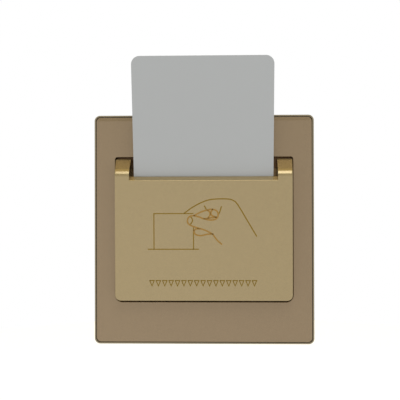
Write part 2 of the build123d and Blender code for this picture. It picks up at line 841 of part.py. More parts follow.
varistor_x, varistor_z = varistor_place
varistor_middle = board_back - varistor_leg_length - varistor_radius
with BuildPart() as varistor:
    with BuildSketch(level(varistor_z - varistor_thickness / 2, varistor_middle)):
        with Locations((varistor_x, 0)):
            Circle(varistor_radius)
    extrude(amount=varistor_thickness)
    fillet(varistor.edges().filter_by(GeomType.CIRCLE), varistor_edge)
    with BuildSketch(above_wall(board_back)):
        with Locations(varistor_place):
            with GridLocations(varistor_radius, 0, 2, 1):
                Circle(varistor_leg_radius)
    extrude(amount=varistor_middle - board_back)
keep(varistor, "varistor")

# The mains terminals: brass pillars in a block, each with a wire bore from behind and a screw from below
with BuildPart() as terminal_block:
    with BuildSketch(above_wall(board_back)):
        with Locations((0, block_middle)):
            Rectangle(block_width, block_top - block_bottom)
    extrude(amount=block_back - board_back)
    for x in terminal_xs:
        with BuildSketch(above_wall(pillar_front)):
            with Locations((x, (pillar_top + pillar_bottom) / 2)):
                Rectangle(pillar_width, pillar_height)
        extrude(amount=-pillar_length, mode=Mode.SUBTRACT)
        with BuildSketch(above_wall(block_back)):
            with Locations((x, wire_z)):
                Circle(wire_funnel_radius)
        extrude(amount=pillar_setback, mode=Mode.SUBTRACT)
        with BuildSketch(level(block_bottom, pillar_middle)):
            with Locations((x, 0)):
                Circle(terminal_well_radius)
        extrude(amount=terminal_well_depth, mode=Mode.SUBTRACT)
keep(terminal_block, "terminal_block")

with BuildPart() as terminal_pillars:
    for x in terminal_xs:
        with BuildSketch(above_wall(pillar_front)):
            with Locations((x, (pillar_top + pillar_bottom) / 2)):
                Rectangle(pillar_width, pillar_height)
        extrude(amount=-pillar_length)
        with BuildSketch(above_wall(pillar_front)):
            with Locations((x, wire_z)):
                Circle(wire_radius)
        extrude(amount=-pillar_length, mode=Mode.SUBTRACT)
        with BuildSketch(level(pillar_bottom, pillar_middle)):
            with Locations((x, 0)):
                Circle(terminal_screw_radius)
        extrude(amount=wire_z - pillar_bottom, mode=Mode.SUBTRACT)
keep(terminal_pillars, "terminal_pillars")

head_top = pillar_bottom - seat_gap
with BuildPart() as terminal_screws:
    for x in terminal_xs:
        with BuildSketch(level(head_top, pillar_middle)):
            with Locations((x, 0)):
                Circle(terminal_screw_radius)
        extrude(amount=wire_z - wire_radius - fit_gap - head_top)
        with BuildSketch(level(head_top, pillar_middle)):
            with Locations((x, 0)):
                Circle(terminal_screw_head)
        extrude(amount=-terminal_screw_head_thickness)
        with BuildSketch(level(head_top - terminal_screw_head_thickness, pillar_middle)):
            with Locations((x, 0)):
                Rectangle(2 * terminal_screw_head, driver_slot_width)
        extrude(amount=driver_slot_depth, mode=Mode.SUBTRACT)
keep(terminal_screws, "terminal_screws")

# The rear housing, with posts for the long screws, ledges for the board and holes for wires and driver
with BuildPart() as rear_housing:
    with BuildSketch(above_wall(housing_back)):
        RectangleRounded(housing_width, housing_height, housing_corner)
    extrude(amount=frame_thickness - housing_back)
    with BuildSketch(above_wall(housing_inside)):
        RectangleRounded(inner_width, inner_height, housing_corner - housing_wall)
    extrude(amount=frame_thickness - housing_inside, mode=Mode.SUBTRACT)
    with BuildSketch(above_wall(housing_inside)):
        with Locations(*post_places):
            Circle(post_radius)
        with Locations(*[(x, row) for row in post_rows for x in (-notch_x, notch_x)]):
            Rectangle(inner_width / 2 - post_x, 2 * housing_wall)
    extrude(amount=post_front - housing_inside)
    with BuildSketch(above_wall(housing_inside)):
        with GridLocations(2 * ledge_x, 0, 2, 1):
            Rectangle(ledge_width, ledge_height)
    extrude(amount=board_back - housing_inside)
    with BuildSketch(above_wall(housing_back)):
        with Locations(*post_places):
            Circle(housing_screw_hole)
        with Locations(*[(x, wire_z) for x in terminal_xs]):
            Circle(wire_hole_radius)
    extrude(amount=-housing_back, mode=Mode.SUBTRACT)
    with BuildSketch(above_wall(housing_back)):
        with Locations(*post_places):
            Circle(housing_screw_head_hole)
    extrude(amount=housing_screw_seat - housing_back, mode=Mode.SUBTRACT)
    with BuildSketch(level(-housing_height / 2, pillar_middle)):
        with Locations(*[(x, 0) for x in terminal_xs]):
            Circle(driver_hole_radius)
    extrude(amount=housing_wall, mode=Mode.SUBTRACT)
    for end in (-1, 1):
        wall_x = end * housing_width / 2
        for row in (-snap_spacing / 2, snap_spacing / 2):
            with BuildSketch(level(row - snap_width / 2)):
                with BuildLine():
                    Polyline(
                        (wall_x - end * housing_wall / 2, seat_gap),
                        (wall_x + end * snap_reach, seat_gap),
                        (wall_x, snap_length),
                        (wall_x - end * housing_wall / 2, snap_length),
                        close=True,
                    )
                make_face()
            extrude(amount=snap_width)
keep(rear_housing, "rear_housing")

with BuildPart() as housing_screws:
    with BuildSketch(above_wall(housing_screw_seat)):
        with Locations(*post_places):
            Circle(housing_screw_radius)
    extrude(amount=housing_screw_length)
    with BuildSketch(above_wall(housing_screw_seat)):
        with Locations(*post_places):
            Circle(housing_screw_head)
    extrude(amount=-housing_screw_head_thickness)
    with BuildSketch(above_wall(housing_screw_seat - housing_screw_head_thickness)):
        with Locations(*post_places):
            RegularPolygon(screw_recess_radius, 6)
    extrude(amount=screw_recess_depth, mode=Mode.SUBTRACT)
keep(housing_screws, "housing_screws")

# What the motion needs to know
print("card leans", round(degrees(card_tilt), 3), "degrees, from z", round(card_foot_z, 3))
print("lever pin at x", round(hinge_x, 3), "depth", round(mechanism_depth, 3), "z", round(hinge_z, 3))
print("lever reach", round(hinge_x - lever_tip_x, 3), "button from the pin", button_reach, "stroke", pusher_travel)
print("spring: its turns are", round(spring_pitch - spring_wire, 3), "apart, it starts at z", round(spring_bottom, 3))
print("terminals at x", [round(x, 2) for x in terminal_xs], "z", round(wire_z, 3), "back", round(pillar_back, 3))
print("housing:", round(housing_width, 2), round(housing_height, 2), "to depth", round(-housing_back, 3))
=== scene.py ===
"""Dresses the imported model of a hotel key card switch: paints, plastics, metals, the print on its pocket and its stage.

Lengths are in metres, in the model's own frame: X to the right, Y into the wall and Z up, with the origin on the
wall's face midway between the two wall box screws.
"""

import math

import bmesh
import bpy
from bpy.props import FloatProperty, FloatVectorProperty, IntProperty, PointerProperty
from mathutils import Matrix, Vector


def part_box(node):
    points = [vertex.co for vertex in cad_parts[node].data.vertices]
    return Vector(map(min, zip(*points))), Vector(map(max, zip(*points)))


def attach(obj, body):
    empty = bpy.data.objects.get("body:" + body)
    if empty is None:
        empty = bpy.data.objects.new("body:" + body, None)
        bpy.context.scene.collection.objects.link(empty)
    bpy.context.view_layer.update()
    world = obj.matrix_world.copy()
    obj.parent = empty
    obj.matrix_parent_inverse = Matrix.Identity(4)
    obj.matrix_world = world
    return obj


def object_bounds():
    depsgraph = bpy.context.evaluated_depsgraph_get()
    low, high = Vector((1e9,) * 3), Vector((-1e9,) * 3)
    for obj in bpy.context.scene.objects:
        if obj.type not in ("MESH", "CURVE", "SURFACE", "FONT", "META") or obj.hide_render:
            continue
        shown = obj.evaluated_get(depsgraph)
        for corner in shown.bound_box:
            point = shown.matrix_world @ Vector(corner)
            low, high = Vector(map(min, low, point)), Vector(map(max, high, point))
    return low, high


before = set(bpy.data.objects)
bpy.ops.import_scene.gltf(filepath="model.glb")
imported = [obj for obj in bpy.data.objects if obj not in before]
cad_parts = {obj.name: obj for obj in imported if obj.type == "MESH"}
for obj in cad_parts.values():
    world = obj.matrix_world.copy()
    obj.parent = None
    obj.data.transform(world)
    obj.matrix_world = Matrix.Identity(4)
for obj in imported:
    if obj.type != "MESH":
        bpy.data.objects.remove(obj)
cad_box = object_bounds()

bl_info = {
    "name": "Hotel Key Card Switch",
    "version": (1, 0, 0),
    "blender": (4, 5, 0),
    "location": "3D View > Sidebar > Card Switch",
    "description": "Paints a packed key card switch, prints its pocket and lights it",
    "category": "Object",
}

MM = 0.001

# Printed lines: points nearer than this count as one, the share keeps a sharp turn from making a line too wide, and
# each rounded end has this many sides
SAME_POINT = 0.02 * MM
LEAST_MITRE_SHARE = 0.5
END_SIDES = 6

# The print: the middle of the row of arrows, in millimetres from the switch's middle, half an arrow's width as a
# share of the way to the next, and how thick the fingers' ink is next to the other lines'
MARKS_MIDDLE = (-0.2, -20.6)
ARROW_REACH_SHARE = 0.35
FINGER_FILM_SHARE = 1.4

# The softbox: its side and its distance, how far up and how far right it is turned from straight ahead, and its light
SOFTBOX_SIDE = 0.58
SOFTBOX_AWAY = 1.0
SOFTBOX_UP = math.radians(50)
SOFTBOX_ACROSS = math.radians(9)
SOFTBOX_LIGHT = (0.91, 0.95, 1.0)

# The floor: its sides, its tone, and its own glow, for other rays and then where it is seen
FLOOR_SIDES = 96
FLOOR_TONE = (0.84, 0.84, 0.84, 1.0)
FLOOR_GLOW = 0.18
FLOOR_SEEN_GLOW = 0.56


def paint(red, green, blue):
    """A colour given as a screen shows it, from 0 to 255, in Blender's linear values."""
    return tuple(((c / 255 + 0.055) / 1.055) ** 2.4 if c > 10 else c / 255 / 12.92 for c in (red, green, blue))


def colour_setting(name, description, value):
    """A colour in the panel."""
    return FloatVectorProperty(
        name=name, description=description, default=value, size=3, min=0.0, max=1.0, subtype="COLOR"
    )


def length_setting(name, description, value):
    """A length in the panel, in metres."""
    return FloatProperty(name=name, description=description, default=value, min=0.0, subtype="DISTANCE", unit="LENGTH")


def share_setting(name, description, value):
    """A share from 0 to 1 in the panel."""
    return FloatProperty(name=name, description=description, default=value, min=0.0, max=1.0, subtype="FACTOR")


class CardSwitchPaints(bpy.types.PropertyGroup):
    """The paints of the plate, the pocket and the recess."""

    panel: colour_setting("Panel", "Taupe metallic paint of the plate's panel", paint(156, 135, 106))
    rim: colour_setting("Rim", "Olive gold paint of the thin rim round the panel", paint(146, 134, 108))
    pocket: colour_setting("Pocket", "Gold metallic paint of the pocket", paint(176, 157, 117))
    # Painted shade: the recess's paint is partly its own gold brown and partly made darker to stand in for the shade
    # that falls in the recess behind the card
    recess: colour_setting("Recess", "Dark metallic paint of the recess behind the card, partly painted shade", paint(84, 56, 20))
    # Painted shade: the guide's bronze is partly its own colour and partly made darker to stand in for the shade that
    # falls on it inside the recess
    guide: colour_setting("Guide", "Dark bronze paint of the liner that the card slides on, partly painted shade", paint(116, 92, 56))
    flake: length_setting("Flake size", "Size of one metal flake in the paint", 0.11 * MM)
    flake_contrast: share_setting("Flake contrast", "How much one flake differs from the next", 0.10)
    mottle: share_setting("Mottle", "How much the paint's tone drifts over a few millimetres", 0.03)
    gloss: share_setting("Roughness", "Roughness of the satin lacquer over the flakes", 0.24)


class CardSwitchPrint(bpy.types.PropertyGroup):
    """The drawing and the row of arrows printed on the pocket."""

    ink: colour_setting("Ink", "Ochre ink of the card, the slot and the back of the hand", paint(142, 114, 42))
    finger_ink: colour_setting("Finger ink", "Golden ink of the thumb and the fingers", paint(168, 131, 70))
    mark_ink: colour_setting("Mark ink", "Olive brown ink of the row of arrows", paint(134, 108, 34))
    line: length_setting("Line width", "Width of the card's and the slot's lines", 0.40 * MM)
    hand_line: length_setting("Hand line width", "Width of the lines of the back of the hand", 0.47 * MM)
    bold_line: length_setting("Bold line width", "Width of the lines of the thumb and the fingers", 0.60 * MM)
    mark_line: length_setting("Mark line width", "Width of the lines of the arrows", 0.37 * MM)
    film: length_setting("Ink film", "How far the ink stands on the paint", 0.02 * MM)
    marks: IntProperty(name="Marks", description="How many arrows the row has", default=17, min=2, max=41)
    marks_width: length_setting("Row width", "Width of the row of arrows", 42.0 * MM)
    marks_height: length_setting("Mark height", "Height of one arrow", 2.1 * MM)


class CardSwitchStage(bpy.types.PropertyGroup):
    """The camera, the lamp and the room round the switch."""

    focal_length: FloatProperty(
        name="Focal length", description="Of the camera, in millimetres", default=75.9, min=1.0, unit="CAMERA"
    )
    camera_place: FloatVectorProperty(
        name="Camera", description="Where the camera is", default=(0.0099, -0.339, 0.0097), subtype="XYZ", unit="LENGTH"
    )
    camera_turn: FloatVectorProperty(
        name="Turn",
        description="How far the camera is turned left, tipped up and rolled",
        default=tuple(math.radians(a) for a in (1.98, 0.32, 0.12)),
        subtype="EULER",
        unit="ROTATION",
    )
    floor_drop: length_setting("Floor drop", "How far the floor is below the switch", 0.09)
    floor_radius: length_setting("Floor radius", "Radius of the round floor", 0.36)
    floor_back: length_setting("Floor set back", "How far the floor's middle is behind the wall's face", 0.38)
    softbox: FloatProperty(
        name="Softbox", description="Radiance of the softbox above the camera", default=2.38, min=0.0
    )


# Where things are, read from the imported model
pocket_low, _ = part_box("pocket_cover")
card_low, card_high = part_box("key_card")

# The pocket's front: how far it leans, and how far its lower edge stands off the wall
POCKET_LEAN = math.radians(2.5)
POCKET_FOOT = 13.5 * MM

# The card: how far it leans, and how far its layers meet from its middle
CARD_LEAN = math.radians(12.5)
CARD_OVERLAY = 0.19 * MM


def pocket_front(x, z, lift=0.0):
    """The point of the pocket's front face at this x and z, lifted off it by this much."""
    height = POCKET_FOOT + (z - pocket_low.z) * math.tan(POCKET_LEAN)
    out = Vector((0, -math.cos(POCKET_LEAN), -math.sin(POCKET_LEAN)))
    return Vector((x, -height, z)) + out * lift


def smooth_line(points, steps=8):
    """A smooth line through these points, which are in millimetres on the pocket's front."""
    ends = [points[0], *points, points[-1]]
    line = []
    for before, start, end, after in zip(ends, ends[1:], ends[2:], ends[3:]):
        for n in range(steps):
            t = n / steps
            line.append(
                tuple(
                    0.5 * (2 * b + (c - a) * t + (2 * a - 5 * b + 4 * c - d) * t**2 + (3 * b - a - 3 * c + d) * t**3)
                    for a, b, c, d in zip(before, start, end, after)
                )
            )
    return [*line, tuple(points[-1])]


def printed_line(ink_mesh, line, width, film):
    """Adds one line of ink, with rounded ends, to the mesh."""
    spots = [Vector(point) * MM for point in line]
    spots = [spot for n, spot in enumerate(spots) if n == 0 or (spot - spots[n - 1]).length > SAME_POINT]
    left, right = [], []
    for n, spot in enumerate(spots):
        back = (spot - spots[n - 1]).normalized() if n else (spots[1] - spot).normalized()
        ahead = (spots[n + 1] - spot).normalized() if n + 1 < len(spots) else back
        across = (back + ahead).normalized()
        across = Vector((-across.y, across.x))
        reach = width / 2 / max(LEAST_MITRE_SHARE, across.dot(Vector((-ahead.y, ahead.x))))
        left.append(spot + across * reach)
        right.append(spot - across * reach)
    caps = []
    for spot, edge in ((spots[-1], left[-1]), (spots[0], right[0])):
        start = math.atan2((edge - spot).y, (edge - spot).x)
        sweep = [start - math.pi * k / END_SIDES for k in range(1, END_SIDES)]
        caps.append([spot + Vector((math.cos(a), math.sin(a))) * width / 2 for a in sweep])
    rim = [*left, *caps[0], *reversed(right), *caps[1]]
    top = [ink_mesh.verts.new(pocket_front(spot.x, spot.y, film)) for spot in rim]
    foot = [ink_mesh.verts.new(pocket_front(spot.x, spot.y, -film)) for spot in rim]
    count, turns = len(rim), len(spots)
    for n in range(turns - 1):
        quad = (n, n + 1, count - len(caps[1]) - n - 2, count - len(caps[1]) - n - 1)
        ink_mesh.faces.new([top[k] for k in quad])
    ink_mesh.faces.new(top[turns - 1 : turns + len(caps[0]) + 1])
    ink_mesh.faces.new([*top[count - len(caps[1]) - 1 :], top[0]])
    for n in range(count):
        ink_mesh.faces.new((top[n], foot[n], foot[(n + 1) % count], top[(n + 1) % count]))


def finish_piece(mesh_data, name, material, body="switch"):
    """Turns a built mesh into a piece of the switch that moves with this body."""
    bmesh.ops.recalc_face_normals(mesh_data, faces=mesh_data.faces)
    mesh = bpy.data.meshes.new(name)
    mesh_data.to_mesh(mesh)
    mesh_data.free()
    piece = bpy.data.objects.new(name, mesh)
    bpy.context.scene.collection.objects.link(piece)
    mesh.materials.append(material)
    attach(piece, body)
    return piece


def dress(node, material):
    """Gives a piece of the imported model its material."""
    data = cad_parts[node].data
    if not data.materials:
        data.materials.append(material)
    for n in range(len(data.materials)):
        data.materials[n] = material


# Shared effects
def new_effect(name, inputs, outputs):
    """An empty node group with these inputs, as (name, kind, value), and outputs, as (name, kind)."""
    effect = bpy.data.node_groups.new(name, "ShaderNodeTree")
    for label, kind, value in inputs:
        made = effect.interface.new_socket(label, in_out="INPUT", socket_type="NodeSocket" + kind)
        made.default_value = (*value, 1.0) if kind == "Color" else value
    for label, kind in outputs:
        effect.interface.new_socket(label, in_out="OUTPUT", socket_type="NodeSocket" + kind)
    return effect, effect.nodes.new("NodeGroupInput"), effect.nodes.new("NodeGroupOutput")


def add_node(tree, kind, settings=None, **values):
    """Adds a node of this kind to a tree, with settings and with plain values on its inputs."""
    node = tree.nodes.new("ShaderNode" + kind)
    for key, value in (settings or {}).items():
        setattr(node, key, value)
    for key, value in values.items():
        node.inputs[key.replace("_", " ")].default_value = value
    return node


def math_node(tree, operation, first, second):
    """A sum, product or other operation on two values or sockets, of which it gives the result."""
    node = add_node(tree, "Math", {"operation": operation})
    for socket, value in zip(node.inputs, (first, second)):
        if isinstance(value, (int, float)):
            socket.default_value = value
        else:
            tree.links.new(value, socket)
    return node.outputs[0]


def tinted(tree, colour, factor):
    """A colour socket made lighter or darker by a factor socket."""
    scale = add_node(tree, "VectorMath", {"operation": "SCALE"})
    tree.links.new(colour, scale.inputs[0])
    tree.links.new(factor, scale.inputs["Scale"])
    return scale.outputs[0]


def spread(tree, value, low, high):
    """A value from 0 to 1 spread between low and high, which may be sockets."""
    node = add_node(tree, "MapRange")
    tree.links.new(value, node.inputs["Value"])
    for name, end in (("To Min", low), ("To Max", high)):
        if isinstance(end, (int, float)):
            node.inputs[name].default_value = end
        else:
            tree.links.new(end, node.inputs[name])
    return node.outputs[0]


def varied(tree, value, change):
    """A value from 0 to 1 as a tone about 1, which is off it by no more than the change."""
    return spread(tree, value, math_node(tree, "SUBTRACT", 1.0, change), math_node(tree, "ADD", 1.0, change))


def per_metre(tree, size):
    """The texture scale that gives features of this size, given in metres."""
    return math_node(tree, "DIVIDE", 1.0, size)


def flake_effect():
    """Metal flakes under lacquer: a tone for each flake, a slow drift in tone, and the flakes' small relief."""
    effect, given, result = new_effect(
        "Paint Flake",
        [
            ("Paint", "Color", (0.5, 0.5, 0.5)),
            ("Flake Size", "Float", 0.11 * MM),
            ("Flake Contrast", "Float", 0.1),
            ("Mottle", "Float", 0.03),
        ],
        [("Color", "Color"), ("Height", "Float")],
    )
    place = add_node(effect, "TexCoord").outputs["Object"]
    flakes = add_node(effect, "TexVoronoi", {"feature": "F1"})
    effect.links.new(place, flakes.inputs["Vector"])
    effect.links.new(per_metre(effect, given.outputs["Flake Size"]), flakes.inputs["Scale"])
    one_flake = add_node(effect, "SeparateColor")
    effect.links.new(flakes.outputs["Color"], one_flake.inputs[0])
    drift = add_node(effect, "TexNoise", Scale=420.0, Detail=3.0, Roughness=0.55)
    effect.links.new(place, drift.inputs["Vector"])
    flake_tone = varied(effect, one_flake.outputs[0], given.outputs["Flake Contrast"])
    drift_tone = varied(effect, drift.outputs["Fac"], given.outputs["Mottle"])
    tone = math_node(effect, "MULTIPLY", flake_tone, drift_tone)
    effect.links.new(tinted(effect, given.outputs["Paint"], tone), result.inputs["Color"])
    effect.links.new(one_flake.outputs[1], result.inputs["Height"])
    return effect


def grain_effect():
    """The fine spark-eroded grain of a moulded plastic, with slightly uneven tone and gloss."""
    effect, given, result = new_effect(
        "Moulded Grain",
        [
            ("Plastic", "Color", (0.5, 0.5, 0.5)),
            ("Grain Size", "Float", 0.2 * MM),
            ("Unevenness", "Float", 0.05),
            ("Roughness", "Float", 0.5),
        ],
        [("Color", "Color"), ("Roughness", "Float"), ("Height", "Float")],
    )
    place = add_node(effect, "TexCoord").outputs["Object"]
    grain = add_node(effect, "TexNoise", Detail=4.0, Roughness=0.6)
    effect.links.new(place, grain.inputs["Vector"])
    effect.links.new(per_metre(effect, given.outputs["Grain Size"]), grain.inputs["Scale"])
    flow = add_node(effect, "TexNoise", Scale=120.0, Detail=2.0)
    effect.links.new(place, flow.inputs["Vector"])
    tone = varied(effect, flow.outputs["Fac"], given.outputs["Unevenness"])
    effect.links.new(tinted(effect, given.outputs["Plastic"], tone), result.inputs["Color"])
    rough = math_node(effect, "ADD", given.outputs["Roughness"], spread(effect, grain.outputs["Fac"], -0.08, 0.08))
    effect.links.new(rough, result.inputs["Roughness"])
    effect.links.new(grain.outputs["Fac"], result.inputs["Height"])
    return effect


def drawn_effect():
    """The fine lines that rolling or drawing leaves on a metal, along Z, with a cloudy plated tone."""
    effect, given, result = new_effect(
        "Drawn Metal",
        [
            ("Metal", "Color", (0.6, 0.6, 0.6)),
            ("Line Size", "Float", 0.08 * MM),
            ("Cloud", "Float", 0.1),
            ("Roughness", "Float", 0.3),
        ],
        [("Color", "Color"), ("Roughness", "Float"), ("Height", "Float")],
    )
    place = add_node(effect, "TexCoord").outputs["Object"]
    stretch = add_node(effect, "Mapping", Scale=(1.0, 1.0, 0.04))
    effect.links.new(place, stretch.inputs["Vector"])
    lines = add_node(effect, "TexNoise", Detail=3.0)
    effect.links.new(stretch.outputs[0], lines.inputs["Vector"])
    effect.links.new(per_metre(effect, given.outputs["Line Size"]), lines.inputs["Scale"])
    cloud = add_node(effect, "TexVoronoi", {"feature": "SMOOTH_F1"}, Scale=600.0, Smoothness=0.6)
    effect.links.new(place, cloud.inputs["Vector"])
    change = given.outputs["Cloud"]
    tone = spread(
        effect,
        cloud.outputs["Distance"],
        math_node(effect, "ADD", 1.0, change),
        math_node(effect, "SUBTRACT", 1.0, change),
    )
    effect.links.new(tinted(effect, given.outputs["Metal"], tone), result.inputs["Color"])
    rough = math_node(effect, "ADD", given.outputs["Roughness"], spread(effect, lines.outputs["Fac"], -0.1, 0.1))
    effect.links.new(rough, result.inputs["Roughness"])
    effect.links.new(lines.outputs["Fac"], result.inputs["Height"])
    return effect


EFFECTS = {"Paint Flake": flake_effect, "Moulded Grain": grain_effect, "Drawn Metal": drawn_effect}
built_effects = {}


def effect_named(name):
    """A shared effect, built the first time that it is asked for."""
    if name not in built_effects:
        built_effects[name] = EFFECTS[name]()
    return built_effects[name]


# Materials
def new_material(name, **values):
    """A material with plain values on its shader's own sockets."""
    material = bpy.data.materials.new(name)
    material.use_nodes = True
    shader = material.node_tree.nodes["Principled BSDF"]
    for key, value in values.items():
        shader.inputs[key.replace("_", " ")].default_value = value
    return material, material.node_tree, shader


def place_effect(tree, shader, name, relief, relief_size, **values):
    """Puts a shared effect in a material, feeds the shader from it and gives its node back."""
    effect = tree.nodes.new("ShaderNodeGroup")
    effect.node_tree = effect_named(name)
    for key, value in values.items():
        effect.inputs[key.replace("_", " ")].default_value = (*value, 1.0) if hasattr(value, "__len__") else value
    tree.links.new(effect.outputs["Color"], shader.inputs["Base Color"])
    if "Roughness" in effect.outputs:
        tree.links.new(effect.outputs["Roughness"], shader.inputs["Roughness"])
    bump = add_node(tree, "Bump", Strength=relief, Distance=relief_size)
    tree.links.new(effect.outputs["Height"], bump.inputs["Height"])
    tree.links.new(bump.outputs[0], shader.inputs["Normal"])
    return effect


def metallic_paint(name, colour, paints, metal=0.75, roughness=None):
    """Satin metallic paint on moulded plastic."""
    rough = paints.gloss if roughness is None else roughness
    material, tree, shader = new_material(name, Metallic=metal, Roughness=rough, Coat_Weight=0.4, Coat_Roughness=0.14)
    place_effect(
        tree,
        shader,
        "Paint Flake",
        0.12,
        0.02 * MM,
        Paint=colour,
        Flake_Size=paints.flake,
        Flake_Contrast=paints.flake_contrast,
        Mottle=paints.mottle,
    )
    return material


def moulded(name, colour, roughness=0.5, grain=0.2 * MM, uneven=0.05, relief=0.25, **values):
    """A moulded plastic."""
    material, tree, shader = new_material(name, **values)
    place_effect(
        tree,
        shader,
        "Moulded Grain",
        relief,
        0.03 * MM,
        Plastic=colour,
        Grain_Size=grain,
        Unevenness=uneven,
        Roughness=roughness,
    )
    return material


def printing_ink(name, colour):
    """A matt printing ink."""
    return moulded(name, colour, roughness=0.6, grain=0.15 * MM, uneven=0.04, Specular_IOR_Level=0.15)


def drawn_metal(name, colour, roughness=0.3, line=0.08 * MM, cloud=0.1):
    """A rolled, drawn or plated metal."""
    material, tree, shader = new_material(name, Metallic=1.0)
    place_effect(
        tree,
        shader,
        "Drawn Metal",
        0.2,
        0.01 * MM,
        Metal=colour,
        Line_Size=line,
        Cloud=cloud,
        Roughness=roughness,
    )
    return material


def card_laminate():
    """The card: satin laminate with a soft orange peel, and the core's layers as fine lines in its cut edge."""
    material, tree, shader = new_material("Card Laminate", Coat_Weight=0.15, Coat_Roughness=0.3)
    effect = place_effect(
        tree,
        shader,
        "Moulded Grain",
        0.08,
        0.02 * MM,
        Plastic=paint(184, 187, 189),
        Grain_Size=0.35 * MM,
        Unevenness=0.012,
        Roughness=0.42,
    )
    from_middle = add_node(tree, "VectorMath", {"operation": "SUBTRACT"})
    tree.links.new(add_node(tree, "TexCoord").outputs["Object"], from_middle.inputs[0])
    from_middle.inputs[1].default_value = (card_low + card_high) / 2
    depth = add_node(tree, "VectorMath", {"operation": "DOT_PRODUCT"})
    tree.links.new(from_middle.outputs[0], depth.inputs[0])
    depth.inputs[1].default_value = (0.0, -math.cos(CARD_LEAN), -math.sin(CARD_LEAN))
    from_layer = math_node(tree, "SUBTRACT", math_node(tree, "ABSOLUTE", depth.outputs["Value"], 0.0), CARD_OVERLAY)
    line = add_node(tree, "MapRange", From_Max=0.03 * MM, To_Min=0.85, To_Max=1.0)
    tree.links.new(math_node(tree, "ABSOLUTE", from_layer, 0.0), line.inputs["Value"])
    shade = tinted(tree, effect.outputs["Color"], line.outputs[0])
    tree.links.new(shade, shader.inputs["Base Color"])
    return material


def register_operator_settings():
    """Puts the settings on the scene, so that the panel and the operators share them."""
    bpy.types.Scene.card_switch_paints = PointerProperty(type=CardSwitchPaints)
    bpy.types.Scene.card_switch_print = PointerProperty(type=CardSwitchPrint)
    bpy.types.Scene.card_switch_stage = PointerProperty(type=CardSwitchStage)


class CARDSWITCH_OT_paint_plate(bpy.types.Operator):
    """Paint the plate's panel taupe and the frame round it olive gold"""

    bl_idname = "card_switch.paint_plate"
    bl_label = "Paint Plate"

    def execute(self, context):
        paints = context.scene.card_switch_paints
        dress("face_panel", metallic_paint("Taupe Metallic", paints.panel, paints, metal=0.6))
        dress("edge_frame", metallic_paint("Olive Gold Metallic", paints.rim, paints, metal=0.0, roughness=0.6))
        return {"FINISHED"}


class CARDSWITCH_OT_paint_pocket(bpy.types.Operator):
    """Paint the pocket gold"""

    bl_idname = "card_switch.paint_pocket"
    bl_label = "Paint Pocket"

    def execute(self, context):
        paints = context.scene.card_switch_paints
        dress("pocket_cover", metallic_paint("Gold Metallic", paints.pocket, paints))
        return {"FINISHED"}


class CARDSWITCH_OT_finish_recess(bpy.types.Operator):
    """Finish the recess, the guide that the card slides on and its leaf springs"""

    bl_idname = "card_switch.finish_recess"
    bl_label = "Finish Recess"

    def execute(self, context):
        paints = context.scene.card_switch_paints
        # The recess's dark brown paint is partly painted shade, standing in for the shade inside the recess
        dress("module_body", metallic_paint("Recess Metallic With Painted Shade", paints.recess, paints, metal=0.9, roughness=0.2))
        # The guide's dark bronze is partly painted shade, standing in for the shade deep in the recess
        dress("card_guide", metallic_paint("Bronze Metallic With Painted Shade", paints.guide, paints, metal=0.9, roughness=0.2))
        dress("card_springs", drawn_metal("Leaf Spring Steel", paint(188, 186, 180), roughness=0.28))
        return {"FINISHED"}


class CARDSWITCH_OT_finish_card(bpy.types.Operator):
    """Finish the key card"""

    bl_idname = "card_switch.finish_card"
    bl_label = "Finish Key Card"

    def execute(self, context):
        dress("key_card", card_laminate())
        return {"FINISHED"}


class CARDSWITCH_OT_print_drawing(bpy.types.Operator):
    """Print a hand that puts a card in a slot"""

    bl_idname = "card_switch.print_drawing"
    bl_label = "Print Drawing"

    def execute(self, context):
        look = context.scene.card_switch_print
        ink_mesh, finger_mesh = bmesh.new(), bmesh.new()
        straight = (
            [(-21.4, -7.45), (-1.9, -7.45)],
            [(-19.1, -7.45), (-19.1, 6.3), (-4.0, 6.3)],
            [(-3.85, -7.45), (-3.85, 1.0)],
        )
        back_of_hand = [(-7.3, 6.5), (-4.2, 8.7), (-0.6, 10.6), (3.0, 11.7), (9.0, 11.9), (12.0, 11.0), (14.0, 8.4)]
        curved = (
            [*back_of_hand, (16.6, 4.0), (20.4, -2.4)],
            [(-5.1, 5.2), (-4.4, 4.4), (-4.3, 3.2), (-5.2, 2.0)],
            [(5.6, 5.6), (6.3, 7.0), (6.9, 8.9)],
            [(0.4, 9.2), (1.2, 7.7)],
        )
        thumb_tip = [(-3.6, 5.5), (-5.1, 5.3), (-6.0, 4.3), (-6.1, 2.9)]
        finger_top = [(-3.6, 5.5), (-1.4, 6.7), (1.2, 7.6), (3.6, 7.9), (5.3, 7.1)]
        fingers = (
            [*thumb_tip, (-5.2, 1.9), (-3.0, 1.0), (0.6, -0.1), (3.6, -1.7)],
            [(3.6, -1.7), (5.2, -3.9), (7.0, -5.5)],
            [*finger_top, (5.6, 5.4), (4.6, 4.1), (2.4, 3.8), (0.2, 4.3)],
            [(-3.6, 5.5), (-1.4, 4.9), (0.2, 4.3), (2.4, 4.6), (4.9, 4.9)],
            [(1.4, 7.6), (2.4, 6.9), (2.5, 5.8), (1.8, 4.5)],
            [(3.6, 7.9), (2.9, 6.8), (3.2, 5.6), (4.9, 4.9)],
            [(-3.7, -0.2), (-3.2, -1.6), (-1.2, -2.2), (1.4, -1.7), (3.6, -1.6)],
            [(-3.7, -0.2), (-2.6, 0.4), (-1.4, 0.4)],
        )
        for points in straight:
            printed_line(ink_mesh, points, look.line, look.film)
        for points in curved:
            printed_line(ink_mesh, smooth_line(points), look.hand_line, look.film)
        for points in fingers:
            printed_line(finger_mesh, smooth_line(points), look.bold_line, look.film * FINGER_FILM_SHARE)
        ink = printing_ink("Ochre Ink", look.ink)
        finish_piece(ink_mesh, "print_drawing", ink)
        finger_ink = printing_ink("Golden Ink", look.finger_ink)
        finish_piece(finger_mesh, "print_fingers", finger_ink)
        return {"FINISHED"}


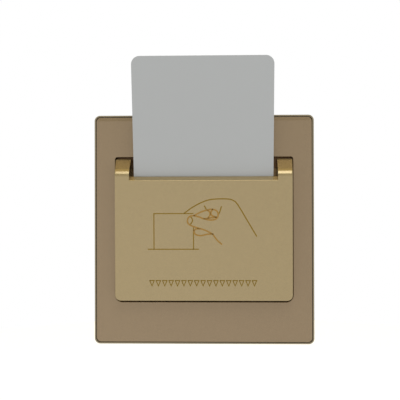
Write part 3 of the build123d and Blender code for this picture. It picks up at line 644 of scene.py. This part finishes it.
class CARDSWITCH_OT_print_marks(bpy.types.Operator):
    """Print the row of arrows that point into the pocket"""

    bl_idname = "card_switch.print_marks"
    bl_label = "Print Marks"

    def execute(self, context):
        look = context.scene.card_switch_print
        ink_mesh = bmesh.new()
        pitch = look.marks_width / look.marks / MM
        reach, rise = pitch * ARROW_REACH_SHARE, look.marks_height / 2 / MM
        across, middle = MARKS_MIDDLE
        for n in range(look.marks):
            x = (n - (look.marks - 1) / 2) * pitch + across
            corners = (x - reach, middle + rise), (x, middle - rise), (x + reach, middle + rise)
            printed_line(ink_mesh, [*corners, corners[0]], look.mark_line, look.film)
        ink = printing_ink("Olive Ink", look.mark_ink)
        finish_piece(ink_mesh, "print_marks", ink)
        return {"FINISHED"}


class CARDSWITCH_OT_finish_mechanism(bpy.types.Operator):
    """Finish the slider, its pins and spring, and the microswitch"""

    bl_idname = "card_switch.finish_mechanism"
    bl_label = "Finish Mechanism"

    def execute(self, context):
        steel = drawn_metal("Ground Steel", paint(196, 196, 196), roughness=0.2)
        spring = drawn_metal("Spring Wire", paint(176, 174, 168), roughness=0.3, line=0.05 * MM)
        black = moulded("Black Plastic", paint(34, 34, 36), roughness=0.42)
        dress("card_pusher", moulded("Natural Acetal", paint(222, 218, 206), roughness=0.38, uneven=0.03))
        dress("guide_pins", steel)
        dress("lever_pin", steel)
        dress("return_spring", spring)
        dress("microswitch_lever", spring)
        dress("microswitch_case", black)
        dress("microswitch_button", moulded("Red Plastic", paint(176, 40, 34), roughness=0.35))
        dress("microswitch_leads", drawn_metal("Tinned Lead", paint(208, 206, 200), roughness=0.25))
        dress("microswitch_screws", drawn_metal("Zinc Screw", paint(202, 200, 190), roughness=0.3))
        return {"FINISHED"}


class CARDSWITCH_OT_finish_board(bpy.types.Operator):
    """Finish the circuit board and what is soldered to it"""

    bl_idname = "card_switch.finish_board"
    bl_label = "Finish Circuit Board"

    def execute(self, context):
        dress("circuit_board", moulded("Solder Mask", paint(30, 92, 52), roughness=0.3, grain=0.6 * MM, uneven=0.2))
        dress("relay", moulded("Relay Blue", paint(38, 78, 148), roughness=0.3))
        dress("film_capacitor", moulded("Capacitor Yellow", paint(202, 164, 48), roughness=0.35))
        dress("bridge_rectifier", moulded("Rectifier Black", paint(30, 30, 32), roughness=0.4))
        dress("fuse", moulded("Fuse Brown", paint(86, 52, 32), roughness=0.35))
        dress("smoothing_capacitor", drawn_metal("Aluminium Can", paint(206, 206, 208), roughness=0.24))
        dress("varistor", moulded("Varistor Blue", paint(42, 100, 162), roughness=0.3))
        return {"FINISHED"}


class CARDSWITCH_OT_finish_rear(bpy.types.Operator):
    """Finish the terminals, the rear housing, its screws and the steel mounting frame"""

    bl_idname = "card_switch.finish_rear"
    bl_label = "Finish Rear"

    def execute(self, context):
        dress("mounting_frame", drawn_metal("Zinc Plate", paint(200, 199, 192), roughness=0.34, cloud=0.14))
        dress("terminal_block", moulded("Terminal Grey", paint(62, 63, 66), roughness=0.48))
        dress("terminal_pillars", drawn_metal("Terminal Brass", paint(206, 172, 104), roughness=0.28))
        dress("terminal_screws", drawn_metal("Terminal Screw Zinc", paint(204, 202, 192), roughness=0.3))
        dress("rear_housing", moulded("Housing Grey", paint(188, 188, 182), roughness=0.5, grain=0.25 * MM))
        dress("housing_screws", drawn_metal("Housing Screw Zinc", paint(204, 202, 192), roughness=0.3))
        return {"FINISHED"}


class CARDSWITCH_OT_set_stage(bpy.types.Operator):
    """Set the camera, the floor, the room and the softbox"""

    bl_idname = "card_switch.set_stage"
    bl_label = "Set Stage"

    def execute(self, context):
        stage = context.scene.card_switch_stage
        self.set_camera(context, stage)
        self.lay_floor(stage)
        self.light_room(context)
        self.hang_softbox(stage)
        context.scene.view_settings.view_transform = "Standard"
        return {"FINISHED"}

    def set_camera(self, context, stage):
        left, up, roll = stage.camera_turn
        turn = Matrix.Rotation(left, 3, "Z") @ Matrix.Rotation(up, 3, "X") @ Matrix.Rotation(roll, 3, "Y")
        data = bpy.data.cameras.new("camera")
        data.lens = stage.focal_length
        data.sensor_width = 36.0
        data.clip_start = 0.01
        camera = bpy.data.objects.new("camera", data)
        context.scene.collection.objects.link(camera)
        camera.matrix_world = Matrix.Translation(stage.camera_place) @ (
            turn @ Matrix.Rotation(math.radians(90), 3, "X")
        ).to_4x4()
        context.scene.camera = camera

    def lay_floor(self, stage):
        floor_mesh = bmesh.new()
        height = cad_box[0].z - stage.floor_drop
        middle = Matrix.Translation((0, stage.floor_back, height))
        bmesh.ops.create_circle(
            floor_mesh, cap_ends=True, radius=stage.floor_radius, segments=FLOOR_SIDES, matrix=middle
        )
        mesh = bpy.data.meshes.new("floor")
        floor_mesh.to_mesh(mesh)
        floor_mesh.free()
        floor = bpy.data.objects.new("floor", mesh)
        bpy.context.scene.collection.objects.link(floor)
        material, tree, shader = new_material("Pale Floor", Roughness=0.9, Specular_IOR_Level=0.1)
        shader.inputs["Base Color"].default_value = FLOOR_TONE
        shader.inputs["Emission Color"].default_value = (1.0, 1.0, 1.0, 1.0)
        seen = add_node(tree, "LightPath").outputs
        shown = math_node(tree, "MAXIMUM", seen["Is Camera Ray"], seen["Is Glossy Ray"])
        shown = math_node(tree, "MAXIMUM", shown, seen["Is Transmission Ray"])
        tree.links.new(spread(tree, shown, FLOOR_GLOW, FLOOR_SEEN_GLOW), shader.inputs["Emission Strength"])
        clear = add_node(tree, "BsdfTransparent")
        mix = add_node(tree, "MixShader")
        under = add_node(tree, "NewGeometry")
        tree.links.new(under.outputs["Backfacing"], mix.inputs[0])
        tree.links.new(shader.outputs[0], mix.inputs[1])
        tree.links.new(clear.outputs[0], mix.inputs[2])
        tree.links.new(mix.outputs[0], tree.nodes["Material Output"].inputs["Surface"])
        mesh.materials.append(material)

    def light_room(self, context):
        world = bpy.data.worlds.new("Studio")
        context.scene.world = world
        world.use_nodes = True
        tree = world.node_tree
        toward = add_node(tree, "SeparateXYZ")
        tree.links.new(add_node(tree, "TexCoord").outputs["Generated"], toward.inputs[0])
        by_height = self.tone_ramp(tree, toward.outputs["Z"], (
            (-1.0, (0.74, 0.74, 0.74)),
            (-0.4, (0.81, 0.8, 0.79)),
            (-0.15, (0.84, 0.83, 0.82)),
            (0.12, (0.75, 0.75, 0.75)),
            (0.28, (0.52, 0.49, 0.42)),
            (0.42, (0.42, 0.39, 0.3)),
            (0.6, (0.56, 0.52, 0.38)),
            (0.9, (0.68, 0.56, 0.32)),
            (1.0, (0.72, 0.58, 0.27)),
        ))
        by_side = self.tone_ramp(tree, toward.outputs["X"], (
            (-1.0, (1.0, 1.0, 1.0)),
            (-0.6, (0.97, 0.97, 0.97)),
            (-0.16, (1.09, 1.09, 1.09)),
            (0.12, (0.97, 0.97, 0.97)),
            (0.6, (1.02, 1.02, 1.02)),
            (1.0, (1.0, 1.0, 1.0)),
        ))
        room_tone = add_node(tree, "VectorMath", {"operation": "MULTIPLY"})
        tree.links.new(by_height, room_tone.inputs[0])
        tree.links.new(by_side, room_tone.inputs[1])
        behind = add_node(tree, "MapRange", {"interpolation_type": "SMOOTHSTEP"}, From_Min=0.45, From_Max=0.75)
        tree.links.new(toward.outputs["Y"], behind.inputs["Value"])
        seen = add_node(tree, "LightPath")
        white = math_node(tree, "MAXIMUM", behind.outputs[0], seen.outputs["Is Camera Ray"])
        mix = add_node(tree, "Mix", {"data_type": "RGBA"})
        tree.links.new(white, mix.inputs["Factor"])
        tree.links.new(room_tone.outputs[0], mix.inputs["A"])
        mix.inputs["B"].default_value = (1.0, 1.0, 1.0, 1.0)
        tree.links.new(mix.outputs["Result"], tree.nodes["Background"].inputs["Color"])

    def tone_ramp(self, tree, value, tones):
        """The room's tone for a value from -1 to 1, blended between the tones given."""
        place = add_node(tree, "MapRange", From_Min=-1.0, From_Max=1.0)
        tree.links.new(value, place.inputs["Value"])
        ramp = add_node(tree, "ValToRGB")
        tree.links.new(place.outputs[0], ramp.inputs[0])
        for position, tone in tones[1:-1]:
            ramp.color_ramp.elements.new((position + 1) / 2)
        for element, (position, tone) in zip(ramp.color_ramp.elements, tones):
            element.position = (position + 1) / 2
            element.color = (*tone, 1.0)
        return ramp.outputs[0]

    def hang_softbox(self, stage):
        data = bpy.data.lights.new("softbox", "AREA")
        data.shape = "RECTANGLE"
        data.size = data.size_y = SOFTBOX_SIDE
        data.energy = stage.softbox * math.pi * data.size * data.size_y
        data.color = SOFTBOX_LIGHT
        softbox = bpy.data.objects.new("softbox", data)
        bpy.context.scene.collection.objects.link(softbox)
        level = math.cos(SOFTBOX_UP)
        toward = Vector((math.sin(SOFTBOX_ACROSS) * level, -math.cos(SOFTBOX_ACROSS) * level, math.sin(SOFTBOX_UP)))
        softbox.location = toward * SOFTBOX_AWAY
        softbox.rotation_mode = "QUATERNION"
        softbox.rotation_quaternion = toward.to_track_quat("Z", "Y")


class CARDSWITCH_PT_panel(bpy.types.Panel):
    """Lists the steps that dress the switch"""

    bl_idname = "CARDSWITCH_PT_panel"
    bl_label = "Card Switch"
    bl_space_type = "VIEW_3D"
    bl_region_type = "UI"
    bl_category = "Card Switch"

    def draw(self, context):
        for settings in (
            context.scene.card_switch_paints,
            context.scene.card_switch_print,
            context.scene.card_switch_stage,
        ):
            box = self.layout.box()
            for name in type(settings).__annotations__:
                box.prop(settings, name)
        for step in STEPS:
            self.layout.operator(step.bl_idname)


STEPS = (
    CARDSWITCH_OT_set_stage,
    CARDSWITCH_OT_paint_plate,
    CARDSWITCH_OT_paint_pocket,
    CARDSWITCH_OT_finish_recess,
    CARDSWITCH_OT_finish_card,
    CARDSWITCH_OT_print_drawing,
    CARDSWITCH_OT_print_marks,
    CARDSWITCH_OT_finish_mechanism,
    CARDSWITCH_OT_finish_board,
    CARDSWITCH_OT_finish_rear,
)
CLASSES = (CardSwitchPaints, CardSwitchPrint, CardSwitchStage, *STEPS, CARDSWITCH_PT_panel)


def register():
    """Registers the settings, the steps and the panel."""
    for item in CLASSES:
        bpy.utils.register_class(item)
    register_operator_settings()


def unregister():
    """Takes the settings, the steps and the panel away again."""
    del bpy.types.Scene.card_switch_paints
    del bpy.types.Scene.card_switch_print
    del bpy.types.Scene.card_switch_stage
    for item in reversed(CLASSES):
        bpy.utils.unregister_class(item)


def main():
    """Runs every step in order."""
    register()
    bpy.ops.card_switch.set_stage()
    bpy.ops.card_switch.paint_plate()
    bpy.ops.card_switch.paint_pocket()
    bpy.ops.card_switch.finish_recess()
    bpy.ops.card_switch.finish_card()
    bpy.ops.card_switch.print_drawing()
    bpy.ops.card_switch.print_marks()
    bpy.ops.card_switch.finish_mechanism()
    bpy.ops.card_switch.finish_board()
    bpy.ops.card_switch.finish_rear()


if __name__ == "__main__":
    main()
